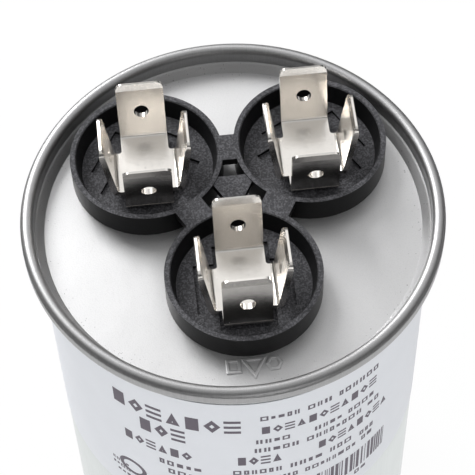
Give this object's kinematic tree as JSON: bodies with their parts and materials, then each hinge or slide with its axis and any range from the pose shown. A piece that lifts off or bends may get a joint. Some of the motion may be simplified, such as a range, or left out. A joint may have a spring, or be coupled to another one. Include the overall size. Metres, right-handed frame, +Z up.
{
  "type": "motor run capacitor",
  "caption": "Round-can dual motor run capacitor with four-blade quick-connect terminals in a moulded cup insulator on a seamed cover.",
  "frame": {"origin": "centre of the can's flat base, on the axis of the can", "axes": "+Z up along the can's axis towards the terminals, +Y from the front (fan) cup towards the two rear cups, +X towards the common cup"},
  "size_m": [0.056, 0.056, 0.0867],
  "materials": {
    "can_metal": "satin drawn",
    "cover_metal": "satin tinplate",
    "label_film": "matte print on film",
    "block_plastic": "moulded, fine grain",
    "terminal_tin": "bright tin plate",
    "rivet_tin": "tinned",
    "gasket_rubber": "matte",
    "lug_brass": "tinned brass",
    "lead_strip": "tinned strip",
    "disc_plastic": "moulded",
    "film_roll": "metallised film roll",
    "insulation": "film and moulded insulation",
    "wrap_film": "wound film",
    "spray_metal": "rough sprayed zinc"
  },
  "bodies": {
    "root": {"can": "can_metal", "cover": "cover_metal", "label": "label_film", "terminal_block": "block_plastic", "terminal_common": "terminal_tin", "terminal_herm": "terminal_tin", "terminal_fan": "terminal_tin", "rivet_common": "rivet_tin", "rivet_herm": "rivet_tin", "rivet_fan": "rivet_tin", "gasket_common": "gasket_rubber", "gasket_herm": "gasket_rubber", "gasket_fan": "gasket_rubber", "lug_common": "lug_brass", "lug_herm": "lug_brass", "lug_fan": "lug_brass", "lead_common": "lead_strip", "lead_herm": "lead_strip", "lead_fan": "lead_strip", "interrupter_disc": "disc_plastic", "core_tube": "insulation", "winding_herm": "film_roll", "section_barrier": "insulation", "winding_fan": "film_roll", "outer_wrap": "wrap_film", "end_spray_common": "spray_metal", "end_spray_herm": "spray_metal", "end_spray_fan": "spray_metal", "base_cup": "insulation"}
  },
  "joints": []
}
